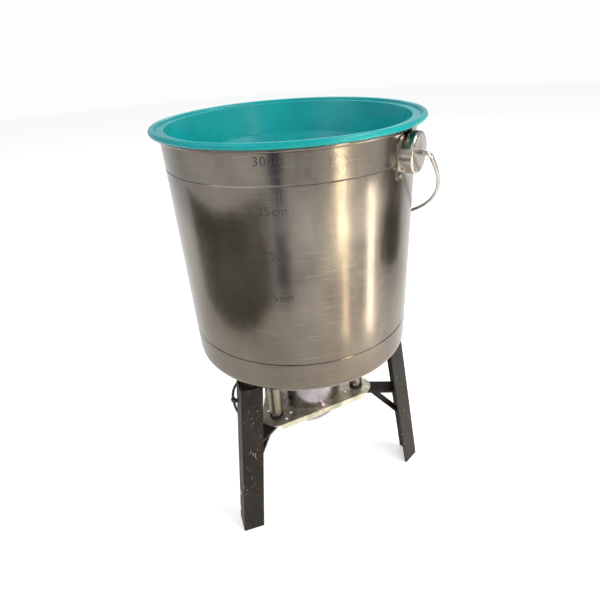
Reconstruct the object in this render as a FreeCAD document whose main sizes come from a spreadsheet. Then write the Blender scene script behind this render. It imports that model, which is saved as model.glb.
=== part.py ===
import FreeCAD, Part
import math
import os
import re

import Sketcher
from FreeCAD import Placement, Rotation, Vector

# A small honey extractor: a steel bucket on an angle-iron tripod, with a spin motor hung
# under its floor and a wire basket on the motor's shaft. Millimetres, +Z up. The
# origin is on the ground, on the axis of the bucket, and -Y is the side with the scale.

SIZES = {
    # The tripod of angle iron. An angle of zero is +X, and turns are in degrees.
    "stand_turn": -5.5,
    "heel_radius": 182.6,
    "leg_lean": 0.146,
    "leg_twist": 6.3,
    "angle_width": 30.0,
    "angle_thick": 3.0,
    "bearer_thick": 3.0,
    "bearer_inner": 104.0,
    "bearer_width": 30.0,
    "cushion_thick": 12.0,
    "cushion_radius": 15.0,
    "stud_circle": 121.0,
    "stud_radius": 4.0,
    "hole_play": 0.4,
    "arm_drop": 108.5,
    "arm_thick": 4.0,
    "arm_width": 24.0,
    "arm_inner": 64.0,
    "brace_width": 14.0,
    "brace_thick": 3.0,
    "brace_top_radius": 104.0,
    "brace_low_radius": 163.0,
    "brace_fall": 62.0,
    # The bucket, whose underside is this high above the ground.
    "bucket_base": 254.0,
    "bucket_radius": 149.2,
    "rim_radius": 153.4,
    "bucket_height": 302.0,
    "bucket_wall": 1.0,
    "bucket_corner": 12.0,
    "rim_bead": 3.0,
    "swage_depth": 0.5,
    "lower_swage": 45.0,
    "upper_swage": 263.5,
    "outlet_height": 32.0,
    "outlet_radius": 16.0,
    "outlet_hole": 15.0,
    "outlet_bore": 13.5,
    "outlet_collar": 20.0,
    "outlet_reach": 196.0,
    # The ears and the bail that hangs from them.
    "ear_turn": -34.0,
    "ear_height": 273.5,
    "ear_width": 47.0,
    "ear_length": 50.0,
    "ear_thick": 1.5,
    "cup_radius": 22.5,
    "cup_reach": 168.0,
    "cup_wall": 1.5,
    "bail_wire": 2.5,
    "bail_play": 0.4,
    "bail_reach": 179.0,
    "bail_leg": 28.0,
    "bail_bend": 7.0,
    "bail_head": 5.5,
    "bail_hang": 41.9,
    # The plastic basin that covers the bucket.
    "basin_lip": 165.0,
    "basin_mouth": 149.8,
    "basin_skin": 2.0,
    "basin_curl": 3.5,
    "ledge_depth": 40.0,
    "ledge_radius": 141.0,
    "ledge_width": 5.0,
    "basin_depth": 66.0,
    "basin_floor": 127.0,
    # The drive through the bucket's floor.
    "shaft_radius": 7.5,
    "running_play": 0.05,
    "sleeve_bore": 12.5,
    "sleeve_wall": 3.0,
    "sleeve_height": 34.0,
    "sleeve_flange": 30.0,
    "seal_height": 7.0,
    # The spin motor under the floor, on its pressed tray.
    "tray_corner": 80.0,
    "tray_rounding": 23.0,
    "tray_thick": 2.0,
    "tray_lip": 7.0,
    "tray_lip_half": 70.0,
    "tray_mouth": 50.2,
    "shell_radius": 54.0,
    "shell_wall": 1.5,
    "shell_height": 86.0,
    "bell_depth": 39.5,
    "bell_radius": 49.8,
    "bell_lug_circle": 57.5,
    "bell_screw": 1.5,
    "top_bell_height": 11.0,
    "housing_radius": 19.5,
    "bearing_radius": 17.5,
    "bearing_width": 11.0,
    "core_height": 50.0,
    "core_lift": 17.0,
    "rotor_radius": 30.0,
    "air_gap": 0.5,
    "stator_slots": 24.0,
    "winding_height": 12.0,
    "post_radius": 9.5,
    "post_wall": 2.0,
    "bush_radius": 10.0,
    "bush_collar": 4.0,
    "nut_height": 6.5,
    "nut_corner": 7.5,
    # The basket on the shaft.
    "basket_lift": 14.0,
    "basket_radius": 120.0,
    "basket_height": 218.0,
    "basket_wall": 1.2,
    "basket_bars": 24.0,
    "bar_circle": 117.0,
    "bar_radius": 2.0,
    "ring_wire": 2.2,
    "hub_radius": 24.0,
    "hub_height": 48.0,
    "hub_flange": 42.0,
    "hub_wall": 3.0,
    "shaft_nut_height": 12.0,
    # The motor's lead, its capacitor and the box it ends in.
    "lead_radius": 1.8,
    "box_foot": 18.0,
    "box_top": 72.0,
    "mains_bore": 3.6,
}

SIDES = {"right": 0, "left": -120, "rear": 120}
WALL_SLOPE = "(rim_radius - bucket_radius) / bucket_height"
TRAY_TOP = "bucket_base - arm_drop + tray_thick"
SAME_SPOT = 0.01

doc = FreeCAD.newDocument("HoneyExtractor")
sheet = doc.addObject("Spreadsheet::Sheet", "Sizes")
pieces = []


# ---------------------------------------------------------------- the sheet and its cells


def fill_sheet():
    for row, (name, number) in enumerate(SIZES.items(), 1):
        sheet.set(f"A{row}", name)
        sheet.set(f"B{row}", str(number))
        sheet.setAlias(f"B{row}", name)
    doc.recompute()


def cells(text):
    """Points each size named in an expression at its cell."""
    return re.sub(r"[a-z_]+", lambda word: f"Sizes.{word[0]}" if word[0] in SIZES else word[0], text)


def value(text):
    """What an expression of sizes comes to."""
    return float(sheet.evalExpression(cells(text)))


def bind(item, bindings):
    for target, text in bindings.items():
        item.setExpression(target, cells(text))


def wall_at(height):
    """The bucket's outer radius at a height above its own underside."""
    return f"bucket_radius + ({height}) * {WALL_SLOPE}"


def heel_at(height):
    """The radius of a leg's heel at a height above the ground."""
    return f"heel_radius - leg_lean * ({height})"


# ---------------------------------------------------------------- placing and combining


def place(item, x="0", y="0", z="0", turn="0", axis=Vector(0, 0, 1)):
    item.Placement = Placement(Vector(), Rotation(axis, 1))
    bind(item, {"Placement.Base.x": x, "Placement.Base.y": y, "Placement.Base.z": z})
    bind(item, {"Placement.Rotation.Angle": turn})
    return item


def keep(item, label):
    """Makes an object one of the machine's pieces."""
    item.Label = label
    pieces.append(item)
    return item


def cylinder(radius, height, x="0", y="0", z="0"):
    item = doc.addObject("Part::Cylinder", "cylinder")
    bind(item, {"Radius": radius, "Height": height})
    return place(item, x, y, z)


def lying_cylinder(radius, length, start, height, across="0"):
    """A cylinder along +X, from a start radius outward, at a height."""
    item = doc.addObject("Part::Cylinder", "lying_cylinder")
    bind(item, {"Radius": radius, "Height": length})
    return place(item, start, across, height, "90", Vector(0, 1, 0))


def box(length, width, height, x, z):
    """A box that starts at a radius and a height and is centred on Y."""
    item = doc.addObject("Part::Box", "box")
    bind(item, {"Length": length, "Width": width, "Height": height})
    return place(item, x, f"-({width}) / 2", z)


def cone(lower, upper, height, z):
    item = doc.addObject("Part::Cone", "cone")
    bind(item, {"Radius1": lower, "Radius2": upper, "Height": height})
    return place(item, z=z)


def hexagon(across_corners, height, x, z):
    item = doc.addObject("Part::Prism", "hexagon")
    item.Polygon = 6
    bind(item, {"Circumradius": across_corners, "Height": height})
    return place(item, x, "0", z)


def cut(base, *tools):
    for tool in tools:
        item = doc.addObject("Part::Cut", "cut")
        item.Base = base
        item.Tool = tool
        base = item
    return base


def fuse(*items):
    item = doc.addObject("Part::MultiFuse", "fuse")
    item.Shapes = list(items)
    return item


def common(*items):
    item = doc.addObject("Part::MultiCommon", "common")
    item.Shapes = list(items)
    return item


def tube(outer, inner, height, x="0", z="0"):
    return cut(cylinder(outer, height, x, "0", z), cylinder(inner, height, x, "0", z))


def around(item, turn):
    """Turns a finished piece about the machine's axis."""
    return place(item, turn=turn)


def post(radius, height, circle, turn, z):
    """An upright cylinder on a circle about the machine's axis."""
    x, y = [f"{circle} * {way}(({turn}) * 1 deg)" for way in ("cos", "sin")]
    return cylinder(radius, height, x, y, z)


def group(label, items):
    """Separate identical fasteners, kept as one piece of several solids."""
    item = doc.addObject("Part::Compound", "group")
    item.Links = items
    return keep(item, label)


# ---------------------------------------------------------------- bodies made from sketches


def new_body(label):
    return doc.addObject("PartDesign::Body", label + "_body")


def new_sketch(body, role):
    """An empty sketch on one of the body's own origin planes."""
    sketch = body.newObject("Sketcher::SketchObject", "sketch")
    plane = next(item for item in body.Origin.OriginFeatures if item.Role == role)
    sketch.AttachmentSupport = [(plane, "")]
    sketch.MapMode = "FlatFace"
    return sketch


def dimension(sketch, kind, element, point, text):
    """Holds a sketch point on an axis, or at a distance from it that the sheet gives."""
    if text == "0":
        axis = -2 if kind == "DistanceX" else -1
        sketch.addConstraint(Sketcher.Constraint("PointOnObject", element, point, axis))
        return
    number = sketch.addConstraint(Sketcher.Constraint(kind, -1, 1, element, point, value(text)))
    bind(sketch, {f"Constraints[{number}]": text})


def draw_outline(sketch, corners):
    spots = [Vector(value(x), value(y), 0) for x, y in corners]
    for start, end in zip(spots, spots[1:] + spots[:1]):
        sketch.addGeometry(Part.LineSegment(start, end), False)
    for number, (x, y) in enumerate(corners):
        following = (number + 1) % len(corners)
        sketch.addConstraint(Sketcher.Constraint("Coincident", number, 2, following, 1))
        dimension(sketch, "DistanceX", number, 1, x)
        dimension(sketch, "DistanceY", number, 1, y)


def draw_circle(sketch, x, y, radius):
    circle = Part.Circle(Vector(value(x), value(y), 0), Vector(0, 0, 1), value(radius))
    number = sketch.addGeometry(circle, False)
    dimension(sketch, "DistanceX", number, 3, x)
    dimension(sketch, "DistanceY", number, 3, y)
    limit = sketch.addConstraint(Sketcher.Constraint("Radius", number, value(radius)))
    bind(sketch, {f"Constraints[{limit}]": radius})


def revolve(body, sketch):
    turn = body.newObject("PartDesign::Revolution", "turn")
    turn.Profile = sketch
    turn.ReferenceAxis = (sketch, ["V_Axis"])
    turn.Angle = 360
    doc.recompute()


def add_bead(body, radius, height, wire):
    """Adds a round bead that runs all the way around."""
    sketch = new_sketch(body, "XZ_Plane")
    draw_circle(sketch, radius, height, wire)
    revolve(body, sketch)


def pad(body, sketch, length, midplane=False):
    item = body.newObject("PartDesign::Pad", "pad")
    item.Profile = sketch
    item.Midplane = midplane
    bind(item, {"Length": length})
    doc.recompute()
    return item


def pocket(body, sketch, length, both_ways=True):
    """Cuts a sketch through the body and checks that it took something away."""
    before = body.Shape.Volume
    item = body.newObject("PartDesign::Pocket", "pocket")
    item.Profile = sketch
    item.Midplane = both_ways
    bind(item, {"Length": length})
    doc.recompute()
    if body.Shape.Volume >= before:
        raise RuntimeError(f"{body.Label}: a pocket cut nothing")
    return item


def repeat(body, feature, count):
    """Repeats a feature evenly about the upright axis."""
    pattern = body.newObject("PartDesign::PolarPattern", "pattern")
    pattern.Originals = [feature]
    axis = next(item for item in body.Origin.OriginFeatures if item.Role == "Z_Axis")
    pattern.Axis = (axis, [""])
    pattern.Angle = 360
    bind(pattern, {"Occurrences": count})
    body.Tip = pattern
    doc.recompute()


def round_edges(body, radius, chosen):
    """Rounds those edges of a body that a test picks out."""
    base = body.Tip
    names = [f"Edge{number}" for number, edge in enumerate(base.Shape.Edges, 1) if chosen(edge)]
    fillet = body.newObject("PartDesign::Fillet", "rounding")
    fillet.Base = (base, names)
    bind(fillet, {"Radius": radius})
    doc.recompute()


def round_circles(body, radius, *places):
    """Rounds the circular edges that have the given radii and heights."""
    wanted = [(value(across), value(height)) for across, height in places]

    def chosen(edge):
        if not isinstance(edge.Curve, Part.Circle):
            return False
        found = (edge.Curve.Radius, edge.Curve.Center.z)
        return any(math.dist(found, spot) < SAME_SPOT for spot in wanted)

    round_edges(body, radius, chosen)


def runs_along(direction):
    """A test for straight edges that run along a direction."""
    def chosen(edge):
        return abs(edge.tangentAt(edge.FirstParameter).dot(direction)) > 0.98
    return chosen


# ---------------------------------------------------------------- the tripod


LEG_TOP = "(bucket_base - cushion_thick - bearer_thick)"
ARM_TOP = "(bucket_base - arm_drop)"
OPENED = "(135 + leg_twist)"


def lean_with_leg(length):
    """Slants a pad of a section drawn from a leg's heel, so that it follows the leg's lean."""
    length.UseCustomVector = True
    length.AlongSketchNormal = True
    bind(length, {"Direction.x": f"-leg_lean * cos({OPENED} * 1 deg)"})
    bind(length, {"Direction.y": f"leg_lean * sin({OPENED} * 1 deg)"})
    bind(length, {"Direction.z": "1"})


def stand_in_leg(item, turn, height):
    """Puts something drawn from a leg's heel at the heel's place, at a height."""
    reach = f"({heel_at(height)})"
    return place(item, f"{reach} * cos(({turn}) * 1 deg)", f"{reach} * sin(({turn}) * 1 deg)", height,
                 f"{turn} + {OPENED}")


def leg(turn):
    """Angle iron with its heel outward, leaning in, cut level at both ends."""
    body = new_body("leg")
    sketch = new_sketch(body, "XY_Plane")
    wide, thick = "angle_width", "angle_thick"
    corners = [("0", "0"), (wide, "0"), (wide, thick), (thick, thick), (thick, wide), ("0", wide)]
    draw_outline(sketch, corners)
    lean_with_leg(pad(body, sketch, LEG_TOP))
    return stand_in_leg(body, turn, "0")


def pointed_bar(inner, tip, width, thick, hole_circle):
    """A flat bar along +X whose outer end is cut to a right-angled point, with a stud's hole."""
    body = new_body("bar")
    sketch = new_sketch(body, "XY_Plane")
    half = f"{width} / 2"
    shoulder = f"{tip} - {half}"
    draw_outline(sketch, [(inner, f"-{half}"), (shoulder, f"-{half}"), (tip, "0"),
                          (shoulder, half), (inner, half)])
    pad(body, sketch, thick)
    hole = new_sketch(body, "XY_Plane")
    draw_circle(hole, hole_circle, "0", "stud_radius + hole_play")
    pocket(body, hole, f"3 * {thick}")
    return body


def bearer(side, turn):
    """The flat bar on top of a leg, which the bucket's stud passes through."""
    plate = pointed_bar("bearer_inner", heel_at(LEG_TOP), "bearer_width", "bearer_thick", "stud_circle")
    keep(place(plate, z=LEG_TOP, turn=turn), f"bearer_plate_{side}")


def cushion(side, turn):
    """The round rubber mount between a bearer and the bucket."""
    base = "bucket_base - cushion_thick"
    mount = tube("cushion_radius", "stud_radius + hole_play", "cushion_thick", "stud_circle", base)
    keep(around(mount, turn), f"rubber_cushion_{side}")


def motor_arm(side, turn, upright):
    """The flat bar welded into a leg's inside corner, under the motor's tray."""
    tip = f"{heel_at(ARM_TOP)} - 1.3 * angle_thick"
    body = pointed_bar("arm_inner", tip, "arm_width", "arm_thick", "tray_corner")
    place(body, z=f"{ARM_TOP} - arm_thick", turn=turn)
    keep(cut(body, upright), f"motor_arm_{side}")


def arm_brace(side, turn, upright):
    """The slanting flat bar under an arm, welded inside the leg's angle."""
    body = new_body("brace")
    sketch = new_sketch(body, "XZ_Plane")
    top = "brace_fall"
    slant = "brace_thick * 1.4"
    corners = [("brace_top_radius", top), ("brace_low_radius", slant), ("brace_low_radius", "0"),
               (f"brace_top_radius - {slant}", top)]
    draw_outline(sketch, corners)
    pad(body, sketch, "brace_width", midplane=True)
    place(body, z=f"{ARM_TOP} - arm_thick - brace_fall", turn=turn)
    keep(cut(body, upright), f"arm_brace_{side}")


# ---------------------------------------------------------------- the bucket


def swage(height):
    """Three corners of a shallow rolled line around the wall."""
    return [(wall_at(f"{height} - 1"), f"{height} - 1"),
            (f"{wall_at(height)} - swage_depth", height),
            (wall_at(f"{height} + 1"), f"{height} + 1")]


def bucket():
    skin = "bucket_wall"
    corners = [("sleeve_bore", "0"), ("bucket_radius", "0")]
    corners += swage("lower_swage") + swage("upper_swage")
    shoulder = "bucket_height - rim_bead"
    corners += [(wall_at(shoulder), shoulder), (f"{wall_at(shoulder)} - {skin}", shoulder),
                (f"bucket_radius - {skin}", skin), ("sleeve_bore", skin)]
    body = new_body("bucket")
    sketch = new_sketch(body, "XZ_Plane")
    draw_outline(sketch, corners)
    revolve(body, sketch)
    round_circles(body, "bucket_corner", ("bucket_radius", "0"))
    round_circles(body, f"bucket_corner - {skin}", (f"bucket_radius - {skin}", skin))
    add_bead(body, f"rim_radius - {skin} + rim_bead", shoulder, "rim_bead")
    hole = lying_cylinder("outlet_hole", "bucket_radius", "bucket_radius / 2", "outlet_height")
    place(body, turn=f"-({OUTLET_TURN})")
    pierced = cut(body, hole)
    keep(place(pierced, z="bucket_base", turn=OUTLET_TURN), "bucket")


OUTLET_HEIGHT = "bucket_base + outlet_height"
OUTLET_TURN = "stand_turn + 60"


def outlet_spout():
    """A stub of tube for a hose, welded over a hole low in the wall by a collar that fits it."""
    start = "bucket_radius - 4"
    foot = f"{wall_at('outlet_height + outlet_radius')} + 0.4"
    stub = lying_cylinder("outlet_radius", f"outlet_reach - ({foot})", foot, OUTLET_HEIGHT)
    disc = lying_cylinder("outlet_collar", f"{foot} + 3 - ({start})", start, OUTLET_HEIGHT)
    collar = cut(disc, wall_cone("0"))
    bore = lying_cylinder("outlet_bore", f"outlet_reach - ({start})", start, OUTLET_HEIGHT)
    throat = lying_cylinder("outlet_hole", f"{foot} - ({start})", start, OUTLET_HEIGHT)
    keep(around(cut(fuse(stub, collar), bore, throat), OUTLET_TURN), "outlet_spout")


def shaft_sleeve():
    """The flanged standpipe that keeps honey off the shaft."""
    foot = "bucket_base + bucket_wall"
    flange = tube("sleeve_flange", "sleeve_bore", "2", z=foot)
    pipe = tube("sleeve_bore + sleeve_wall", "sleeve_bore", "sleeve_height", z=foot)
    keep(fuse(flange, pipe), "shaft_sleeve")


def shaft_seal():
    """The rubber lip seal in the top of the sleeve."""
    foot = "bucket_base + bucket_wall + sleeve_height - seal_height"
    keep(tube("sleeve_bore", "shaft_radius + running_play", "seal_height", z=foot), "shaft_seal")


# ---------------------------------------------------------------- the ears and the bail


def wall_cone(outward):
    """The bucket's tapered wall as a solid, grown outward."""
    item = cone(f"bucket_radius + {outward}", f"rim_radius + {outward}", "bucket_height", "bucket_base")
    return item


def ear_plate(side, turn):
    """A rounded plate that follows the wall, welded on under the rim."""
    body = new_body("ear")
    sketch = new_sketch(body, "YZ_Plane")
    half, low, high = "ear_width / 2", "ear_height - ear_length / 2 - 3", "ear_height + ear_length / 2 - 5"
    draw_outline(sketch, [(f"-{half}", low), (half, low), (half, high), (f"-{half}", high)])
    pad(body, sketch, "2 * bucket_radius")
    round_edges(body, "8", runs_along(Vector(1, 0, 0)))
    place(body, z="bucket_base")
    skin = cut(wall_cone("ear_thick"), wall_cone("0"))
    keep(around(common(skin, body), turn), f"ear_plate_{side}")


def ear_cup(side, turn):
    """The pressed hollow boss on an ear, with the hole that the bail's end turns in."""
    height = "bucket_base + ear_height"
    start = "bucket_radius - 2"
    outside = lying_cylinder("cup_radius", f"cup_reach - ({start})", start, height)
    doc.recompute()
    edge = next(number for number, item in enumerate(outside.Shape.Edges, 1)
                if isinstance(item.Curve, Part.Circle) and item.Curve.Center.x > value("cup_reach") - 1)
    rounded = doc.addObject("Part::Fillet", "rounding")
    rounded.Base = outside
    rounded.Edges = [(edge, 3.0, 3.0)]
    inside = lying_cylinder("cup_radius - cup_wall", f"cup_reach - cup_wall - ({start})", start, height)
    hole = lying_cylinder("bail_wire + bail_play", "cup_reach", start, height)
    keep(around(cut(rounded, wall_cone("ear_thick"), inside, hole), turn), f"ear_cup_{side}")


def wire_bend(radius, sweep, start, x, y):
    """A bent run of the bail's wire, lying flat, that starts at an angle from +X."""
    bend = doc.addObject("Part::Torus", "bend")
    bind(bend, {"Radius1": radius, "Radius2": "bail_wire", "Angle3": sweep})
    return place(bend, x, y, "0", start)


def bail_side(hand):
    """One side of the bail, flat: X along the pivots and Y away from them."""
    inner = "cup_reach - cup_wall - 7"
    corner = "bail_reach - bail_bend"
    pivot = lying_cylinder("bail_wire", f"{corner} - ({inner})", inner, "0")
    head = lying_cylinder("bail_head", "2", inner, "0")
    bend = wire_bend("bail_bend", "90", "-90", corner, "bail_bend")
    side = doc.addObject("Part::Cylinder", "side")
    bind(side, {"Radius": "bail_wire", "Height": "bail_leg - bail_bend"})
    place(side, "bail_reach", "bail_bend", "0", "-90", Vector(1, 0, 0))
    half = fuse(pivot, head, bend, side)
    if hand > 0:
        return half
    other = doc.addObject("Part::Mirroring", "other_side")
    other.Source = half
    other.Normal = Vector(1, 0, 0)
    return other


def bail():
    """The wire handle, with an upset head inside each ear's cup."""
    bow = wire_bend("bail_reach", "180", "0", "0", "bail_leg")
    item = fuse(bow, bail_side(1), bail_side(-1))
    tip = Rotation(Vector(1, 0, 0), -value("bail_hang"))
    swing = Rotation(Vector(0, 0, 1), value("ear_turn"))
    item.Placement = Placement(Vector(), swing.multiply(tip))
    bind(item, {"Placement.Base.z": "bucket_base + ear_height"})
    keep(item, "bail")


def ear_rivets():
    """The button heads at the foot of each ear."""
    heads = []
    height = "ear_height - ear_length / 2 + 3"
    reach = f"{wall_at(height)} + ear_thick"
    for turn in ("ear_turn", "ear_turn + 180"):
        for across in ("-17", "17"):
            start = f"{reach} - 8"
            head = lying_cylinder("2.6", "8", start, f"bucket_base + {height}", across)
            heads.append(around(cut(head, wall_cone("ear_thick")), turn))
    group("ear_rivets", heads)


# ---------------------------------------------------------------- the basin


def basin():
    """A washing-up basin with a rolled lip, hung in the bucket's mouth as its cover."""
    skin = "basin_skin"
    lip = "basin_depth"
    ledge = "basin_depth - ledge_depth"
    inner_ledge = "ledge_radius - ledge_width"
    corners = [("0", "0"), ("basin_floor", "0"), (inner_ledge, f"{ledge} - {skin}"),
               ("ledge_radius", f"{ledge} - {skin}"), ("basin_mouth", f"{lip} - {skin}"),
               ("basin_lip - basin_curl", f"{lip} - {skin}"), ("basin_lip - basin_curl", lip),
               (f"basin_mouth - {skin}", lip), (f"ledge_radius - {skin}", ledge),
               (f"{inner_ledge} - {skin}", ledge), (f"basin_floor - {skin}", skin), ("0", skin)]
    body = new_body("basin")
    sketch = new_sketch(body, "XZ_Plane")
    draw_outline(sketch, corners)
    revolve(body, sketch)
    round_circles(body, "10", ("basin_floor", "0"))
    round_circles(body, "8", (f"basin_floor - {skin}", skin))
    add_bead(body, "basin_lip - basin_curl", lip, "basin_curl")
    place(body, z="bucket_base + bucket_height - basin_depth + basin_skin + 0.3")
    keep(body, "basin")


# ---------------------------------------------------------------- the motor and its tray


def tray_plate(body):
    """The tray's flat triangle, with a rounded lobe at each stud."""
    sketch = new_sketch(body, "XY_Plane")
    reach = "(tray_corner + 2 * tray_rounding)"
    corners = [(reach, "0"), (f"-{reach} / 2", f"{reach} * sqrt(3) / 2"),
               (f"-{reach} / 2", f"-{reach} * sqrt(3) / 2")]
    draw_outline(sketch, corners)
    pad(body, sketch, "tray_thick")
    round_edges(body, "tray_rounding", runs_along(Vector(0, 0, 1)))


def tray_lips(body):
    """A flange turned down along each side, between the lobes."""
    sketch = new_sketch(body, "XY_Plane")
    outer = "-(tray_corner / 2 + tray_rounding)"
    inner = f"{outer} + tray_thick"
    half = "tray_lip_half"
    draw_outline(sketch, [(outer, f"-{half}"), (inner, f"-{half}"), (inner, half), (outer, half)])
    lip = pad(body, sketch, "tray_lip")
    lip.Reversed = True
    doc.recompute()
    repeat(body, lip, "3")


def tray_holes(body):
    """The motor's mouth, the holes at each lobe and those for the lower bell's screws."""
    mouth = new_sketch(body, "XY_Plane")
    draw_circle(mouth, "0", "0", "tray_mouth")
    pocket(body, mouth, "3 * tray_thick")
    holes = new_sketch(body, "XY_Plane")
    draw_circle(holes, "tray_corner", "0", "bush_radius - 2")
    draw_circle(holes, "-bell_lug_circle", "0", "bell_screw + 0.1")
    for side in ("", "-"):
        draw_circle(holes, "tray_corner - 16", f"{side}15", "2.5")
        draw_circle(holes, "tray_corner - 2", f"{side}17", "2")
    repeat(body, pocket(body, holes, "3 * tray_thick"), "3")


def motor_tray():
    body = new_body("tray")
    tray_plate(body)
    tray_lips(body)
    tray_holes(body)
    place(body, z=ARM_TOP, turn="stand_turn")
    keep(body, "motor_tray")


def motor_bell(label, outline, lug_height):
    """A pressed end bell with three lugs on its flange."""
    body = new_body(label)
    sketch = new_sketch(body, "XZ_Plane")
    draw_outline(sketch, outline)
    revolve(body, sketch)
    lug = new_sketch(body, "XY_Plane")
    near, far, half = "-shell_radius + 2", "-bell_lug_circle - 3.3", "6"
    draw_outline(lug, [(near, f"-{half}"), (far, f"-{half}"), (far, half), (near, half)])
    ear = pad(body, lug, lug_height)
    repeat(body, ear, "3")
    hole = new_sketch(body, "XY_Plane")
    draw_circle(hole, "-bell_lug_circle", "0", "bell_screw + 0.1")
    repeat(body, pocket(body, hole, f"3 * {lug_height}"), "3")
    return body


def lower_bell():
    """The cup that hangs through the tray, with the lower bearing's housing and vents."""
    skin = "shell_wall"
    deep = "bell_depth"
    outline = [("shaft_radius + 2", "-" + deep), ("bell_radius - 10", "-" + deep),
               ("bell_radius", f"-{deep} + 12"), ("bell_radius", "0"), ("shell_radius", "0"),
               ("shell_radius", skin), (f"bell_radius - {skin}", skin),
               (f"bell_radius - {skin}", f"-{deep} + 12.5"), (f"bell_radius - 10.5", f"-{deep} + {skin}"),
               ("housing_radius", f"-{deep} + {skin}"), ("housing_radius", f"-{deep} + 13"),
               ("bearing_radius", f"-{deep} + 13"), ("bearing_radius", f"-{deep} + {skin}"),
               ("shaft_radius + 2", f"-{deep} + {skin}")]
    body = motor_bell("lower_bell", outline, skin)
    vents = new_sketch(body, "XZ_Plane")
    draw_outline(vents, [("-7", "-24"), ("7", "-24"), ("7", "-19"), ("-7", "-19")])
    slot = body.newObject("PartDesign::Pocket", "vent")
    slot.Profile = vents
    bind(slot, {"Length": "shell_radius"})
    doc.recompute()
    repeat(body, slot, "8")
    place(body, z=TRAY_TOP, turn="stand_turn")
    keep(body, "motor_lower_bell")


def upper_bell():
    """The lid of the motor, with the upper bearing's housing."""
    skin = "shell_wall"
    rise = "top_bell_height"
    outline = [("shaft_radius + 2", rise), ("bell_radius - 4", rise), ("bell_radius", "2"),
               ("shell_radius", skin), ("shell_radius", "0"), ("bell_radius - 2", "0"),
               ("bell_radius - 5", f"{rise} - {skin}"), ("housing_radius", f"{rise} - {skin}"),
               ("housing_radius", f"{rise} - 14"), ("bearing_radius", f"{rise} - 14"),
               ("bearing_radius", f"{rise} - {skin}"), ("shaft_radius + 2", f"{rise} - {skin}")]
    body = motor_bell("upper_bell", outline, skin)
    place(body, z=f"{TRAY_TOP} + shell_wall + shell_height", turn="stand_turn")
    keep(body, "motor_upper_bell")


def motor_shell():
    """The smooth steel barrel of the motor."""
    foot = f"{TRAY_TOP} + shell_wall"
    keep(tube("shell_radius", "shell_radius - shell_wall", "shell_height", z=foot), "motor_shell")


CORE_FOOT = f"{TRAY_TOP} + shell_wall + core_lift"


def stator_core():
    """The stack of laminations, slotted for the windings."""
    body = new_body("core")
    sketch = new_sketch(body, "XY_Plane")
    draw_circle(sketch, "0", "0", "shell_radius - shell_wall")
    draw_circle(sketch, "0", "0", "rotor_radius + air_gap")
    pad(body, sketch, "core_height")
    slot = new_sketch(body, "XY_Plane")
    start, end, half = "rotor_radius - 2", "rotor_radius + 14", "2"
    draw_outline(slot, [(start, f"-{half}"), (end, f"-{half}"), (end, half), (start, half)])
    repeat(body, pocket(body, slot, "3 * core_height"), "stator_slots")
    place(body, z=CORE_FOOT)
    keep(body, "stator_core")


def stator_windings():
    """The two rings of copper end turns, above and below the core."""
    rings = []
    for foot in (f"{CORE_FOOT} - winding_height", f"{CORE_FOOT} + core_height"):
        rings.append(tube("shell_radius - 8", "rotor_radius + 3", "winding_height", z=foot))
    group("stator_windings", rings)


def rotor():
    """The squirrel-cage rotor on the shaft."""
    core = tube("rotor_radius", "shaft_radius", "core_height", z=CORE_FOOT)
    low = tube("rotor_radius - 3", "shaft_radius + 6", "6", z=f"{CORE_FOOT} - 6")
    high = tube("rotor_radius - 3", "shaft_radius + 6", "6", z=f"{CORE_FOOT} + core_height")
    keep(fuse(core, low, high), "motor_rotor")


def bearing(label, foot):
    """A sealed ball bearing, as one ring, with a running fit on the shaft."""
    ring = tube("bearing_radius", "shaft_radius + running_play", "bearing_width", z=foot)
    keep(ring, label)


SHAFT_FOOT = f"{TRAY_TOP} - bell_depth + shell_wall"
HUB_FOOT = "bucket_base + bucket_wall + basket_lift"


def drive_shaft():
    """The motor's shaft, which runs up through the sleeve to the basket's hub."""
    top = f"{HUB_FOOT} + hub_height + shaft_nut_height"
    keep(cylinder("shaft_radius", f"{top} - ({SHAFT_FOOT})", z=SHAFT_FOOT), "drive_shaft")


def spacer_post(side, turn):
    """The steel tube that holds a corner of the tray down from the bucket."""
    foot = f"{TRAY_TOP} + bush_collar + nut_height"
    length = f"bucket_base - ({foot})"
    pipe = tube("post_radius", "post_radius - post_wall", length, "tray_corner", foot)
    keep(around(pipe, turn), f"spacer_post_{side}")


def tray_bush(side, turn):
    """The rubber grommet in a corner of the tray: a collar above and a neck in the hole."""
    bore = "stud_radius + hole_play"
    collar = tube("bush_radius", bore, "bush_collar", "tray_corner", TRAY_TOP)
    neck = tube("bush_radius - 2", bore, "tray_thick", "tray_corner", ARM_TOP)
    keep(around(fuse(collar, neck), turn), f"tray_bush_{side}")


def nut(circle, turn, foot):
    """A hexagon nut on a stud."""
    blank = hexagon("nut_corner", "nut_height", circle, foot)
    return around(cut(blank, cylinder("stud_radius", "nut_height", circle, "0", foot)), turn)


def studs_and_nuts(label, circle, *seats):
    """Studs welded under the bucket at each leg, and their nuts, the lowest one named first."""
    studs, nuts = [], []
    foot = f"{seats[0]} - 3"
    for turn in SIDES.values():
        position = f"stand_turn + {turn}"
        studs.append(post("stud_radius", f"bucket_base - ({foot})", circle, position, foot))
        nuts += [nut(circle, position, seat) for seat in seats]
    group(f"{label}_studs", studs)
    group(f"{label}_nuts", nuts)


def motor_screws():
    """The screws that hold the lower bell's lugs to the tray, each with its nut."""
    screws = []
    spot = "-bell_lug_circle"
    for turn in SIDES.values():
        head = cylinder("2 * bell_screw", "2", spot, "0", f"{TRAY_TOP} + shell_wall")
        shank = cylinder("bell_screw", "tray_thick + shell_wall + 4", spot, "0", f"{ARM_TOP} - 4")
        under = hexagon("2.1 * bell_screw", "2.4", spot, f"{ARM_TOP} - 2.4")
        screws.append(around(fuse(head, shank, under), f"stand_turn + {turn}"))
    group("motor_screws", screws)


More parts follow.
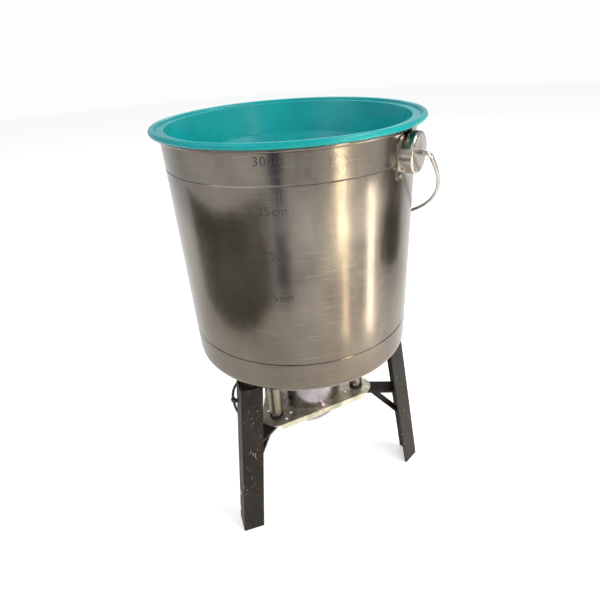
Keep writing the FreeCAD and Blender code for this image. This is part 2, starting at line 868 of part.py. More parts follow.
# ---------------------------------------------------------------- the lead and its box


LEAD_TURN = "stand_turn - 120"
LEAD_REACH = "(tray_corner + 54)"
LEAD_ACROSS = "-30"
LEAD_HEIGHT = f"{TRAY_TOP} + 80"
ENTRY_REACH = "(tray_corner + 71)"
ENTRY_ACROSS = "-12"


def lead_corners():
    """The corners of the lead's route past the left leg, with that leg along +X."""
    leaves = ("shell_radius - 7", LEAD_ACROSS, LEAD_HEIGHT)
    sags = ("tray_corner + 10", f"{LEAD_ACROSS} - 0.5", f"{LEAD_HEIGHT} - 1")
    turns = (LEAD_REACH, LEAD_ACROSS, LEAD_HEIGHT)
    tied = (LEAD_REACH, LEAD_ACROSS, f"{LEAD_HEIGHT} - 40")
    tucks_in = (f"{LEAD_REACH} - 5", f"{ENTRY_ACROSS} - 3.5", f"{LEAD_HEIGHT} - 60")
    slants = (f"{ENTRY_REACH} - 11", f"{ENTRY_ACROSS} - 3", f"{LEAD_HEIGHT} - 100")
    above = (ENTRY_REACH, ENTRY_ACROSS, "box_top + 24")
    enters = (ENTRY_REACH, ENTRY_ACROSS, "box_top + 0.3")
    corners = [leaves, sags, turns, tied, tucks_in, slants, above, enters]
    return [Vector(*(value(number) for number in corner)) for corner in corners]


def routed_tube(corners, radius):
    """A tube along straight runs joined by tangent arcs, and the arcs' radii."""
    edges, bends = [], []
    start = corners[0]
    for before, corner, after in zip(corners, corners[1:], corners[2:]):
        back = (before - corner).normalize()
        ahead = (after - corner).normalize()
        shorter = min(corner.distanceToPoint(before), corner.distanceToPoint(after))
        half_turn = (math.pi - back.getAngle(ahead)) / 2
        bends.append(0.45 * shorter / math.tan(half_turn))
        first = corner + back * 0.45 * shorter
        last = corner + ahead * 0.45 * shorter
        centre = corner + (back + ahead).normalize() * (bends[-1] / math.cos(half_turn))
        crown = centre + (corner - centre).normalize() * bends[-1]
        edges += [Part.LineSegment(start, first), Part.Arc(first, crown, last)]
        start = last
    edges.append(Part.LineSegment(start, corners[-1]))
    path = Part.Wire([edge.toShape() for edge in edges])
    section = Part.Wire(Part.Circle(corners[0], corners[1] - corners[0], radius).toShape())
    return path.makePipeShell([section], True, False), path.Length, bends


def motor_lead():
    """The motor's lead, out past the left leg and down inside it to the capacitor's box."""
    radius = value("lead_radius")
    solid, length, bends = routed_tube(lead_corners(), radius)
    print(f"lead: {length:.0f} long, bend radii {[round(bend, 1) for bend in bends]}")
    print(f"lead volume over a plain tube's: {solid.Volume / (math.pi * radius ** 2 * length):.4f}")
    item = doc.addObject("Part::Feature", "lead_tube")
    item.Shape = solid
    keep(around(item, LEAD_TURN), "motor_lead")


def lead_glands():
    """The rubber glands where the lead leaves the motor and enters the box."""
    sizes = ("2.4 * lead_radius", "lead_radius + 0.5")
    start, length = "shell_radius - 14", "16"
    outside, inside = [lying_cylinder(size, length, start, LEAD_HEIGHT, LEAD_ACROSS) for size in sizes]
    motor_end = cut(outside, inside, cylinder("shell_radius", LEAD_HEIGHT + " + 50"))
    keep(around(motor_end, LEAD_TURN), "motor_lead_gland")
    outside, inside = [cylinder(size, "7", ENTRY_REACH, ENTRY_ACROSS, "box_top") for size in sizes]
    keep(around(cut(outside, inside), LEAD_TURN), "box_lead_gland")


def cable_tie():
    """The tie that holds the lead beside the leg's edge."""
    foot = f"{LEAD_HEIGHT} - 24"
    wide = "4"
    outside, inside = [cylinder(size, wide, LEAD_REACH, LEAD_ACROSS, foot)
                       for size in ("lead_radius + 1.4", "lead_radius + 0.1")]
    head = doc.addObject("Part::Box", "head")
    bind(head, {"Length": "4.4", "Width": "3.8", "Height": wide})
    place(head, f"{LEAD_REACH} - 2.2", f"{LEAD_ACROSS} + lead_radius + 0.6", foot)
    keep(around(fuse(cut(outside, inside), head), LEAD_TURN), "cable_tie")


def box_screws():
    """The screws through the left leg that hold the capacitor's box."""
    screws = []
    for height in ("box_foot + 13", "box_top - 13"):
        head = lying_cylinder("3.5", "1.8", "-1.8", "0", "angle_width / 2")
        shank = lying_cylinder("2", "8", "0", "0", "angle_width / 2")
        screws.append(stand_in_leg(fuse(head, shank), LEAD_TURN, height))
    return group("box_screws", screws)


def capacitor_box(screws):
    """The plastic box that sits in the left leg's angle and leans with it."""
    body = new_body("box")
    sketch = new_sketch(body, "XY_Plane")
    near, far = "angle_thick + 0.3", "angle_width - 3"
    draw_outline(sketch, [(near, near), (far, near), (far, far), (near, far)])
    lean_with_leg(pad(body, sketch, "box_top - box_foot"))
    doc.recompute()
    round_edges(body, "2.5", runs_along(Vector(0, 0, 1)))
    stand_in_leg(body, LEAD_TURN, "box_foot")
    keep(cut(body, screws), "capacitor_box")


def mains_gland():
    """The open gland under the box, for a mains cord."""
    middle = "angle_width / 2"
    outside, inside = [cylinder(size, "9", middle, middle, "-9") for size in ("6.5", "mains_bore")]
    keep(stand_in_leg(cut(outside, inside), LEAD_TURN, "box_foot"), "mains_gland")


# ---------------------------------------------------------------- the basket


def basket_bars():
    """The upright wires of the basket's cage, which the honey leaves between."""
    foot = f"{HUB_FOOT} + basket_wall"
    bars = []
    for number in range(int(SIZES["basket_bars"])):
        turn = f"360 * {number} / basket_bars"
        bars.append(post("bar_radius", "basket_height - basket_wall", "bar_circle", turn, foot))
    group("basket_bars", bars)


def basket_rings():
    """The three wire hoops welded around the bars, of which the highest is the rim."""
    rings = []
    for number in (1, 2, 3):
        ring = doc.addObject("Part::Torus", "ring")
        bind(ring, {"Radius1": "bar_circle + bar_radius + ring_wire", "Radius2": "ring_wire"})
        rings.append(place(ring, z=f"{HUB_FOOT} + {number} / 3 * (basket_height - ring_wire)"))
    group("basket_rings", rings)


def basket_floor(rivets):
    """The basket's floor, a disc that sits on the hub's flange."""
    plate = tube("basket_radius", "hub_radius", "basket_wall", z=HUB_FOOT)
    keep(cut(plate, rivets), "basket_floor")


def basket_hub(rivets):
    """The hollow hub over the sleeve, with its boss and flange."""
    flange = "2"
    foot = f"-{flange}"
    corners = [("hub_radius - hub_wall", foot), ("hub_flange", foot), ("hub_flange", "0"),
               ("hub_radius", "0"), ("hub_radius", "hub_height - 18"), ("14", "hub_height - 10"),
               ("14", "hub_height"), ("shaft_radius", "hub_height"), ("shaft_radius", "hub_height - 22"),
               ("hub_radius - hub_wall", "hub_height - 22")]
    body = new_body("hub")
    sketch = new_sketch(body, "XZ_Plane")
    draw_outline(sketch, corners)
    revolve(body, sketch)
    place(body, z=HUB_FOOT)
    keep(cut(body, rivets), "basket_hub")


def basket_rivets():
    """The rivets that hold the floor to the hub's flange."""
    rivets = []
    for number in range(6):
        rivets.append(post("3", "basket_wall + 4", "(hub_flange - 8)", f"60 * {number}", f"{HUB_FOOT} - 3.4"))
    return group("basket_rivets", rivets)


def shaft_nut():
    """The nut that clamps the hub to the shaft."""
    foot = f"{HUB_FOOT} + hub_height"
    nut = cut(hexagon("13", "shaft_nut_height - 2", "0", foot),
              cylinder("shaft_radius", "shaft_nut_height", z=foot))
    keep(nut, "shaft_nut")


# ---------------------------------------------------------------- checking and writing


def check():
    """Stops on any object that failed, and any piece with no good solid."""
    for item in doc.Objects:
        if "Invalid" in item.State or "Error" in item.State:
            raise RuntimeError(f"{item.Label} did not compute: {item.State}")
    for item in pieces:
        if item.Shape.isNull() or not item.Shape.isValid() or not item.Shape.Solids:
            raise RuntimeError(f"{item.Label} has no valid solid")


def write():
    os.makedirs("parts", exist_ok=True)
    for item in pieces:
        item.Shape.exportStep(f"parts/{item.Label}.step")


def build():
    fill_sheet()
    screws = box_screws()
    for side, turn in SIDES.items():
        position = f"stand_turn + {turn}"
        upright = leg(position)
        if side == "left":
            upright = cut(upright, screws)
        keep(upright, f"leg_{side}")
        bearer(side, position)
        cushion(side, position)
        motor_arm(side, position, upright)
        arm_brace(side, position, upright)
        spacer_post(side, position)
        tray_bush(side, position)
    bucket()
    outlet_spout()
    shaft_sleeve()
    shaft_seal()
    for side, turn in {"right": "ear_turn", "left": "ear_turn + 180"}.items():
        ear_plate(side, turn)
        ear_cup(side, turn)
    ear_rivets()
    bail()
    basin()
    motor_tray()
    lower_bell()
    upper_bell()
    motor_shell()
    stator_core()
    stator_windings()
    rotor()
    bearing("motor_lower_bearing", SHAFT_FOOT)
    bearing("motor_upper_bearing", f"{TRAY_TOP} + shell_height + top_bell_height - bearing_width")
    drive_shaft()
    motor_lead()
    lead_glands()
    cable_tie()
    capacitor_box(screws)
    mains_gland()
    motor_screws()
    under_arm = f"({ARM_TOP} - arm_thick - nut_height)"
    studs_and_nuts("tray", "tray_corner", under_arm, f"({TRAY_TOP} + bush_collar)")
    studs_and_nuts("bearer", "stud_circle", f"({LEG_TOP} - nut_height)")
    basket_bars()
    basket_rings()
    rivets = basket_rivets()
    basket_floor(rivets)
    basket_hub(rivets)
    shaft_nut()
    doc.recompute()
    check()
    write()


build()
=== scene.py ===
import math

import bmesh
import bpy
from mathutils import Matrix, Vector, noise


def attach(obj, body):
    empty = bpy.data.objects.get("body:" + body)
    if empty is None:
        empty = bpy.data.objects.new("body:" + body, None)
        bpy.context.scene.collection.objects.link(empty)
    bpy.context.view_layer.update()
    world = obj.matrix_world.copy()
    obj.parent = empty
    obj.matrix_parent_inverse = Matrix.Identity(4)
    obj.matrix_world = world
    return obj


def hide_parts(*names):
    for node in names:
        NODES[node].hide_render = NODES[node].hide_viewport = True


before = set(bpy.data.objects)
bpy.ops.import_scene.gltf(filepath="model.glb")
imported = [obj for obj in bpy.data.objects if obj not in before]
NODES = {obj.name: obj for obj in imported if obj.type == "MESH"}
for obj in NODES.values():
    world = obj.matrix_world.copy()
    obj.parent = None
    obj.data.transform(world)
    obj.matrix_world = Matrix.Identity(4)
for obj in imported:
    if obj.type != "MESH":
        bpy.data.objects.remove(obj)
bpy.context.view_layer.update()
MM = 0.001

# Sizes repeated from the CAD source, in millimetres above the ground or from the axis, and turns
# about the axis in degrees.
BUCKET_BASE = 254.0
BUCKET_RADIUS = 149.2
RIM_RADIUS = 153.4
BUCKET_HEIGHT = 302.0
STAND_TURN = -5.5
LEG_TURNS = {"right": STAND_TURN, "left": STAND_TURN - 120, "rear": STAND_TURN + 120}
HEEL_RADIUS = 182.6
LEG_LEAN = 0.146
LEG_TWIST = 6.3
LEG_OPENED = 135 + LEG_TWIST
ARM_TOP = 145.5
LEG_TOP = 239.0


# ---------------------------------------------------------------- materials


class Surface:
    """A procedural material under construction. Lengths are in metres of the object."""

    def __init__(self, name, colour, metallic=0.0, roughness=0.5, **more):
        self.material = bpy.data.materials.new(name)
        self.material.use_nodes = True
        self.tree = self.material.node_tree
        self.shader = self.tree.nodes["Principled BSDF"]
        self.shader.inputs["Base Color"].default_value = (*colour, 1)
        self.shader.inputs["Metallic"].default_value = metallic
        self.shader.inputs["Roughness"].default_value = roughness
        for socket, number in more.items():
            self.shader.inputs[socket.replace("_", " ").title().replace("Ior", "IOR")].default_value = number
        self.place = self.tree.nodes.new("ShaderNodeTexCoord").outputs["Object"]

    def node(self, kind, **inputs):
        made = self.tree.nodes.new(kind)
        for name, value in inputs.items():
            self.feed(made.inputs[name.replace("_", " ")], value)
        return made

    def feed(self, socket, value):
        if isinstance(value, bpy.types.NodeSocket):
            self.tree.links.new(value, socket)
        else:
            socket.default_value = value

    def noise(self, size, detail=4.0, roughness=0.55, stretch=(1, 1, 1)):
        """Noise whose patches are about size across, times stretch along each axis."""
        scale = tuple(1 / (size * factor) for factor in stretch)
        mapped = self.node("ShaderNodeMapping", Vector=self.place, Scale=scale)
        made = self.node("ShaderNodeTexNoise", Vector=mapped.outputs[0], Scale=1.0, Detail=detail,
                         Roughness=roughness)
        return made.outputs[0]

    def cells(self, size):
        """Distance to the nearest of some scattered points, about size apart."""
        mapped = self.node("ShaderNodeMapping", Vector=self.place, Scale=(1 / size,) * 3)
        made = self.node("ShaderNodeTexVoronoi", Vector=mapped.outputs[0], Scale=1.0)
        return made.outputs["Distance"]

    def remap(self, value, low, high, to_low=0.0, to_high=1.0):
        made = self.tree.nodes.new("ShaderNodeMapRange")
        for name, given in (("Value", value), ("From Min", low), ("From Max", high),
                            ("To Min", to_low), ("To Max", to_high)):
            self.feed(made.inputs[name], given)
        return made.outputs["Result"]

    def math(self, operation, first, second):
        made = self.tree.nodes.new("ShaderNodeMath")
        made.operation = operation
        self.feed(made.inputs[0], first)
        self.feed(made.inputs[1], second)
        return made.outputs[0]

    def height(self):
        """The height above the ground, in metres."""
        return self.node("ShaderNodeSeparateXYZ", Vector=self.place).outputs["Z"]

    def blend(self, factor, first, second):
        made = self.tree.nodes.new("ShaderNodeMix")
        made.data_type = "RGBA"
        self.feed(made.inputs[0], factor)
        self.feed(made.inputs[6], (*first, 1) if isinstance(first, tuple) else first)
        self.feed(made.inputs[7], (*second, 1) if isinstance(second, tuple) else second)
        return made.outputs[2]

    def paint(self, colour=None, roughness=None, metallic=None):
        for name, value in (("Base Color", colour), ("Roughness", roughness), ("Metallic", metallic)):
            if value is not None:
                self.tree.links.new(value, self.shader.inputs[name])

    def relief(self, value, depth, strength=1.0):
        """Bumps up to depth metres high, stacked on any that are there already."""
        made = self.node("ShaderNodeBump", Height=value, Distance=depth, Strength=strength)
        normal = self.shader.inputs["Normal"]
        if normal.is_linked:
            self.tree.links.new(normal.links[0].from_socket, made.inputs["Normal"])
        self.tree.links.new(made.outputs[0], normal)


def bucket_steel():
    """Thin stainless sheet, polished around, with smudges, fine scratches and a painted reflection of the
    ground: browner and darker towards the bottom.
    """
    dark, light = (0.12, 0.110, 0.096), (0.25, 0.226, 0.194)
    # low is the tone of the painted ground reflection on the lower wall.
    warm, low = (0.21, 0.172, 0.133), (0.155, 0.131, 0.106)
    made = Surface("bucket_steel", light, 1.0, 0.2, anisotropic=0.75)
    tangent = made.tree.nodes.new("ShaderNodeTangent")
    tangent.direction_type = "RADIAL"
    tangent.axis = "Z"
    made.tree.links.new(tangent.outputs[0], made.shader.inputs["Tangent"])
    grain = made.noise(0.0006, detail=2, stretch=(1, 1, 130))
    broad = made.noise(0.012, detail=3, stretch=(1, 1, 14))
    cloud = made.noise(0.07, detail=5, stretch=(1, 1, 1.6))
    scratch = made.noise(0.0007, detail=1, stretch=(60, 60, 1))
    # Painted reflection of the ground: below 0.46 m the wall is painted towards the darker, browner low
    # tone, most strongly at the bottom.
    painted_ground_reflection = made.remap(made.height(), 0.25, 0.46, 0.85, 0.0)
    tone = made.blend(made.remap(cloud, 0.36, 0.62), dark, light)
    tone = made.blend(made.remap(broad, 0.35, 0.75, 0.0, 0.6), tone, warm)
    tone = made.blend(painted_ground_reflection, tone, low)
    tone = made.blend(made.remap(scratch, 0.66, 0.74, 0.0, 0.3), tone, (0.45, 0.42, 0.37))
    rough = made.math("ADD", made.remap(grain, 0.3, 0.7, 0.12, 0.2), made.remap(cloud, 0.4, 0.7, 0.0, 0.08))
    made.paint(colour=tone, roughness=rough)
    made.relief(grain, 0.00002, 0.5)
    made.relief(cloud, 0.0004, 0.16)
    return made.material


def polished_steel(name, tone, shine, grain_size=0.0008):
    """Bright steel with fine marks in every direction and faint smears."""
    made = Surface(name, tone, 1.0, shine)
    fine = made.noise(grain_size, detail=3, stretch=(1, 1, 6))
    smear = made.noise(0.02, detail=5)
    dull = tuple(part * 0.72 for part in tone)
    made.paint(colour=made.blend(made.remap(smear, 0.4, 0.7, 0.0, 0.8), tone, dull),
               roughness=made.remap(smear, 0.3, 0.7, shine * 0.75, shine * 1.5))
    made.relief(fine, 0.00002, 0.5)
    return made.material


THREAD_PITCH = 0.00125
SHEET_THICKNESS = 0.0005


def threaded_steel():
    """Bright plated steel with a rolled thread."""
    bright, stained = (0.56, 0.53, 0.48), (0.3, 0.26, 0.2)
    made = Surface("threaded_steel", bright, 1.0, 0.28)
    turns = made.math("MULTIPLY", made.height(), 2 * math.pi / THREAD_PITCH)
    wave = made.math("SINE", turns, 0.0)
    stain = made.noise(0.01, detail=4)
    made.paint(colour=made.blend(made.remap(stain, 0.45, 0.7, 0.0, 0.7), bright, stained))
    made.relief(wave, 0.0003, 0.8)
    return made.material


def tray_zinc():
    """Zinc plate gone cream, with darker spangles, stains and rubbed edges."""
    cream, olive, dark = (0.64, 0.61, 0.49), (0.36, 0.35, 0.27), (0.13, 0.125, 0.1)
    made = Surface("tray_zinc", cream, 0.75, 0.35)
    spangle = made.cells(0.006)
    stain = made.noise(0.018, detail=6)
    pits = made.noise(0.0012, detail=3)
    tone = made.blend(made.remap(stain, 0.42, 0.62), cream, olive)
    tone = made.blend(made.remap(pits, 0.64, 0.72, 0.0, 0.7), tone, dark)
    made.paint(colour=tone, roughness=made.remap(spangle, 0.0, 0.8, 0.28, 0.5))
    made.relief(pits, 0.00005, 0.6)
    return made.material


def motor_steel():
    """The motor's smooth grey barrel, with a purplish cast and fine turning marks."""
    made = Surface("motor_steel", (0.36, 0.32, 0.34), 1.0, 0.22)
    rings = made.noise(0.0006, detail=2, stretch=(80, 80, 1))
    smear = made.noise(0.03, detail=5)
    made.paint(colour=made.blend(made.remap(smear, 0.38, 0.68), (0.42, 0.38, 0.40), (0.24, 0.21, 0.23)),
               roughness=made.remap(rings, 0.3, 0.7, 0.14, 0.3))
    made.relief(rings, 0.00002, 0.4)
    return made.material


def leg_paint():
    """Thick brown-black paint over rolled angle, chipped to steel and dusted with wear."""
    paint, faded = (0.010, 0.008, 0.0065), (0.028, 0.021, 0.016)
    bare, rust = (0.36, 0.31, 0.25), (0.11, 0.05, 0.025)
    made = Surface("leg_paint", paint, 0.0, 0.42, specular_ior_level=0.18)
    patch = made.noise(0.03, detail=6, roughness=0.65, stretch=(1, 1, 2.2))
    chip = made.noise(0.006, detail=6, roughness=0.75)
    scrape = made.noise(0.0035, detail=4, roughness=0.7, stretch=(1, 1, 9))
    skin = made.noise(0.0011, detail=3)
    tone = made.blend(made.remap(patch, 0.4, 0.66), paint, faded)
    edge = made.remap(scrape, 0.655, 0.69)
    bared = made.math("MAXIMUM", edge, made.remap(chip, 0.645, 0.67))
    tone = made.blend(made.remap(chip, 0.58, 0.66, 0.0, 0.7), tone, rust)
    tone = made.blend(bared, tone, bare)
    made.paint(colour=tone, metallic=made.remap(bared, 0, 1, 0, 0.7),
               roughness=made.remap(patch, 0.35, 0.7, 0.42, 0.65))
    made.relief(skin, 0.0002, 0.5)
    made.relief(bared, 0.00015, -0.6)
    return made.material


def basin_plastic():
    """Turquoise moulding: smooth and glossy, with a few rub marks."""
    made = Surface("basin_plastic", (0.0, 0.30, 0.32), 0.0, 0.3, specular_ior_level=0.28)
    cloud = made.noise(0.05, detail=5)
    rubs = made.noise(0.0015, detail=3, stretch=(14, 3, 3))
    pebble = made.noise(0.0012, detail=2)
    tone = made.blend(made.remap(cloud, 0.35, 0.7), (0.0, 0.28, 0.30), (0.0, 0.355, 0.36))
    tone = made.blend(made.remap(rubs, 0.74, 0.82, 0.0, 0.2), tone, (0.15, 0.5, 0.5))
    made.paint(colour=tone, roughness=made.remap(rubs, 0.5, 0.75, 0.27, 0.38))
    made.relief(pebble, 0.00003, 0.4)
    return made.material


def rubber(name, tone=(0.012, 0.012, 0.013), shine=0.55):
    """Moulded black rubber with dust in its texture."""
    made = Surface(name, tone, 0.0, shine)
    dust = made.noise(0.004, detail=6)
    grain = made.noise(0.0007, detail=3)
    made.paint(colour=made.blend(made.remap(dust, 0.5, 0.75, 0.0, 0.45), tone, (0.09, 0.085, 0.08)),
               roughness=made.remap(dust, 0.4, 0.7, shine, min(1.0, shine + 0.25)))
    made.relief(grain, 0.00015, 0.5)
    return made.material


def laminations():
    """Stacked sheets of electrical steel."""
    made = Surface("laminations", (0.16, 0.155, 0.15), 0.9, 0.4)
    sheets = made.math("SINE", made.math("MULTIPLY", made.height(), 2 * math.pi / SHEET_THICKNESS), 0.0)
    bluing = made.noise(0.012, detail=4)
    made.paint(colour=made.blend(made.remap(bluing, 0.4, 0.7), (0.17, 0.165, 0.16), (0.07, 0.075, 0.1)))
    made.relief(sheets, 0.0001, 0.5)
    return made.material


def copper_windings():
    """Varnished copper wire lying in turns around the motor."""
    made = Surface("copper_windings", (0.45, 0.17, 0.06), 0.85, 0.3, coat_weight=0.5)
    strands = made.noise(0.0009, detail=2, stretch=(12, 12, 1))
    burn = made.noise(0.01, detail=4)
    made.paint(colour=made.blend(made.remap(burn, 0.4, 0.75), (0.5, 0.2, 0.07), (0.2, 0.06, 0.02)))
    made.relief(strands, 0.0006, 0.9)
    return made.material


def scale_ink():
    """The scale's dark etched marks, worn thin in places."""
    made = Surface("scale_ink", (0.04, 0.034, 0.028), 0.3, 0.5)
    worn = made.noise(0.002, detail=4)
    made.paint(colour=made.blend(made.remap(worn, 0.45, 0.72), (0.03, 0.026, 0.022), (0.12, 0.1, 0.085)))
    return made.material


def floor_surface():
    made = Surface("floor_surface", (0.87, 0.87, 0.86), 0.0, 0.75, emission_strength=0.42)
    made.shader.inputs["Emission Color"].default_value = (1, 1, 1, 1)
    cloud = made.noise(0.4, detail=3)
    made.paint(colour=made.blend(cloud, (0.86, 0.86, 0.85), (0.88, 0.88, 0.875)))
    return made.material


STAINLESS = polished_steel("ear_steel", (0.50, 0.46, 0.40), 0.2)
PLATED = polished_steel("plated_steel", (0.52, 0.49, 0.44), 0.16)
DULL_PLATE = polished_steel("dull_plate", (0.27, 0.23, 0.18), 0.34)
LEG_PAINT = leg_paint()
THREADED = threaded_steel()
BASKET_STEEL = polished_steel("basket_steel", (0.5, 0.49, 0.47), 0.27)
BLACK_RUBBER = rubber("black_rubber")
BLACK_PLASTIC = rubber("black_plastic", (0.016, 0.016, 0.018), 0.4)
LEAD_SHEATH = rubber("lead_sheath", (0.010, 0.010, 0.010), 0.42)
LAMINATIONS = laminations()
MOTOR_STEEL = motor_steel()

LOOKS = {
    "leg_": LEG_PAINT,
    "bearer_plate": LEG_PAINT,
    "motor_arm": LEG_PAINT,
    "arm_brace": LEG_PAINT,
    "rubber_cushion": BLACK_RUBBER,
    "tray_bush": BLACK_RUBBER,
    "shaft_seal": BLACK_RUBBER,
    "motor_lead_gland": BLACK_RUBBER,
    "box_lead_gland": BLACK_RUBBER,
    "mains_gland": BLACK_RUBBER,
    "bucket": bucket_steel(),
    "ear_": STAINLESS,
    "outlet_spout": STAINLESS,
    "shaft_sleeve": BASKET_STEEL,
    "basket_": BASKET_STEEL,
    "bail": PLATED,
    "spacer_post": DULL_PLATE,
    "drive_shaft": PLATED,
    "shaft_nut": PLATED,
    "box_screws": PLATED,
    "motor_screws": PLATED,
    "tray_studs": THREADED,
    "tray_nuts": THREADED,
    "bearer_studs": THREADED,
    "bearer_nuts": THREADED,
    "motor_tray": tray_zinc(),
    "motor_shell": MOTOR_STEEL,
    "motor_lower_bell": MOTOR_STEEL,
    "motor_upper_bell": MOTOR_STEEL,
    "motor_lower_bearing": PLATED,
    "motor_upper_bearing": PLATED,
    "stator_core": LAMINATIONS,
    "motor_rotor": LAMINATIONS,
    "stator_windings": copper_windings(),
    "basin": basin_plastic(),
    "capacitor_box": BLACK_PLASTIC,
    "cable_tie": BLACK_PLASTIC,
    "motor_lead": LEAD_SHEATH,
}


def dress_cad():
    """Gives each CAD node the look whose name it starts with."""
    for name, node in NODES.items():
        key = max((start for start in LOOKS if name.startswith(start)), key=len)
        node.data.materials.clear()
        node.data.materials.append(LOOKS[key])


# ---------------------------------------------------------------- pieces made here


def polar(radius, turn, height):
    angle = math.radians(turn)
    return Vector((radius * math.cos(angle), radius * math.sin(angle), height)) * MM


def wall_at(height):
    """The bucket's outer radius at a height above its underside."""
    return BUCKET_RADIUS + height * (RIM_RADIUS - BUCKET_RADIUS) / BUCKET_HEIGHT


def add_piece(name, mesh, material, body):
    made = bpy.data.objects.new(name, mesh)
    bpy.context.scene.collection.objects.link(made)
    made.data.materials.clear()
    made.data.materials.append(material)
    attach(made, body)
    return made


def wrap_on_wall(vertex, turn, height):
    """Takes a flat point, in metres from a mark's middle, round onto the bucket's wall."""
    level = height + vertex.y / MM
    radius = wall_at(level) + vertex.z / MM
    along = math.degrees(vertex.x / (radius * MM))
    return polar(radius, turn + along, BUCKET_BASE + level)


SCALE_TURN = -98.2
SCALE_STEPS = (30, 25, 20, 15)
# Each mark sits this far below the height that it names, in millimetres over the underside.
SCALE_DROP = 12
LETTER_HEIGHT = 9.8 * MM
LETTER_SPREAD = 1.12
# The font's size over the height of its digits, roughly.
FONT_PER_HEIGHT = 1.35
INK_THICKNESS = 0.12 * MM
LONGEST_FLAT = 2.5 * MM


def scale_mark(words, height):
    """The words of one mark of the height scale, wrapped on the wall."""
    curve = bpy.data.curves.new("letters", "FONT")
    curve.body = words
    curve.size = LETTER_HEIGHT * FONT_PER_HEIGHT
    curve.align_x = "CENTER"
    curve.align_y = "CENTER"
    curve.space_character = LETTER_SPREAD
    curve.extrude = INK_THICKNESS
    curve.offset = -INK_THICKNESS
    letters = bpy.data.objects.new("letters", curve)
    bpy.context.scene.collection.objects.link(letters)
    bpy.context.view_layer.update()
    mesh = bpy.data.meshes.new_from_object(letters)
    bpy.data.objects.remove(letters)
    shape = bmesh.new()
    shape.from_mesh(mesh)
    for _ in range(2):
        wide = [edge for edge in shape.edges
                if abs(edge.verts[0].co.x - edge.verts[1].co.x) > LONGEST_FLAT]
        bmesh.ops.subdivide_edges(shape, edges=wide, cuts=2)
    for vertex in shape.verts:
        vertex.co = wrap_on_wall(vertex.co, SCALE_TURN, height)
    shape.to_mesh(mesh)
    shape.free()
    return mesh


def add_scale():
    ink = scale_ink()
    for centimetres in SCALE_STEPS:
        words = f"{centimetres}cm"
        height = centimetres * 10 - SCALE_DROP
        add_piece(f"scale_{words}", scale_mark(words, height), ink, "stand")


WELD_STEP = 0.0008
WELD_SIDES = 10
# The least radius at a bead's ends, so that its end faces don't shrink to a point.
WELD_END = 0.00005


def weld_bead(name, start, end, radius):
    """A lumpy run of weld between two points, with the ripples of its passes."""
    along = end - start
    steps = max(6, int(along.length / WELD_STEP))
    across = along.orthogonal().normalized()
    upward = along.normalized().cross(across)
    shape = bmesh.new()
    rings = []
    for step in range(steps + 1):
        share = step / steps
        swell = math.sqrt(max(0.0, 1 - (2 * share - 1) ** 8))
        lump = noise.noise(start * 400 + Vector((step * 0.31, 0, 0)))
        ripple = 1 + 0.10 * math.sin(step * 1.7) + 0.25 * lump
        reach = radius * swell * ripple + WELD_END
        ring = []
        for spoke in range(WELD_SIDES):
            angle = 2 * math.pi * spoke / WELD_SIDES
            outward = across * math.cos(angle) + upward * math.sin(angle)
            ring.append(shape.verts.new(start + along * share + outward * reach))
        rings.append(ring)
    for before, after in zip(rings, rings[1:]):
        for spoke in range(WELD_SIDES):
            following = (spoke + 1) % WELD_SIDES
            shape.faces.new((before[spoke], before[following], after[following], after[spoke]))
    shape.faces.new(rings[0])
    shape.faces.new(list(reversed(rings[-1])))
    bmesh.ops.recalc_face_normals(shape, faces=shape.faces)
    mesh = bpy.data.meshes.new(name)
    shape.to_mesh(mesh)
    shape.free()
    for face in mesh.polygons:
        face.use_smooth = True
    return add_piece(name, mesh, LEG_PAINT, "stand")


def in_leg(turn, height, first, second):
    """A point in a leg's section: distances from its heel along its two flanges."""
    middle = math.radians(turn + LEG_OPENED)
    heel = polar(HEEL_RADIUS - LEG_LEAN * height, turn, height)
    along = Vector((math.cos(middle), math.sin(middle), 0))
    across = Vector((-math.sin(middle), math.cos(middle), 0))
    return heel + (along * first + across * second) * MM


# Where the beads lie: their start's distance inside the heel, their heights, lengths and radii.
WELD_INSIDE = 3.2
WELD_SEAMS = {
    "arm_weld": (ARM_TOP, 14, 1.6 * MM),
    "bearer_weld": (LEG_TOP - 0.3, 18, 1.7 * MM),
}


def add_welds():
    """Beads along both flanges where each arm and bearer plate meets its leg."""
    for side, turn in LEG_TURNS.items():
        for number, (first, second) in enumerate(((1, 0), (0, 1))):
            for seam, (height, length, radius) in WELD_SEAMS.items():
                near = in_leg(turn, height, WELD_INSIDE, WELD_INSIDE)
                far = in_leg(turn, height, WELD_INSIDE + length * first, WELD_INSIDE + length * second)
                weld_bead(f"{seam}_{side}_{number}", near, far, radius)


# ---------------------------------------------------------------- lead


def lead_points():
    """The corners of the lead's route past the left leg, with that leg along +X, in millimetres."""
    height = ARM_TOP + 82
    reach, across, box_top = 134.0, -30.0, 72.0
    entry_reach, entry_across = 151.0, -12.0
    return [
        (47.0, across, height),
        (90.0, across - 0.5, height - 1),
        (reach, across, height),
        (reach, across, height - 40),
        (reach - 5, entry_across - 3.5, height - 60),
        (entry_reach - 11, entry_across - 3, height - 100),
        (entry_reach, entry_across, box_top + 24),
        (entry_reach, entry_across, box_top + 0.3),
    ]


def add_lead():
    """The motor's lead, smooth along its route, in place of its plain CAD tube."""
    turn = Matrix.Rotation(math.radians(LEG_TURNS["left"]), 4, "Z")
    points = [turn @ (Vector(point) * MM) for point in lead_points()]
    curve = bpy.data.curves.new("lead_line", "CURVE")
    curve.dimensions = "3D"
    curve.bevel_depth = 1.8 * MM
    curve.bevel_resolution = 6
    curve.use_fill_caps = True
    spline = curve.splines.new("NURBS")
    spline.points.add(len(points) - 1)
    for point, spot in zip(spline.points, points):
        point.co = (*spot, 1)
    spline.order_u = 3
    spline.use_endpoint_u = True
    spline.resolution_u = 16
    curve.materials.append(LEAD_SHEATH)
    lead = bpy.data.objects.new("lead", curve)
    bpy.context.scene.collection.objects.link(lead)
    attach(lead, "stand")
    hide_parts("motor_lead")


# ---------------------------------------------------------------- the studio


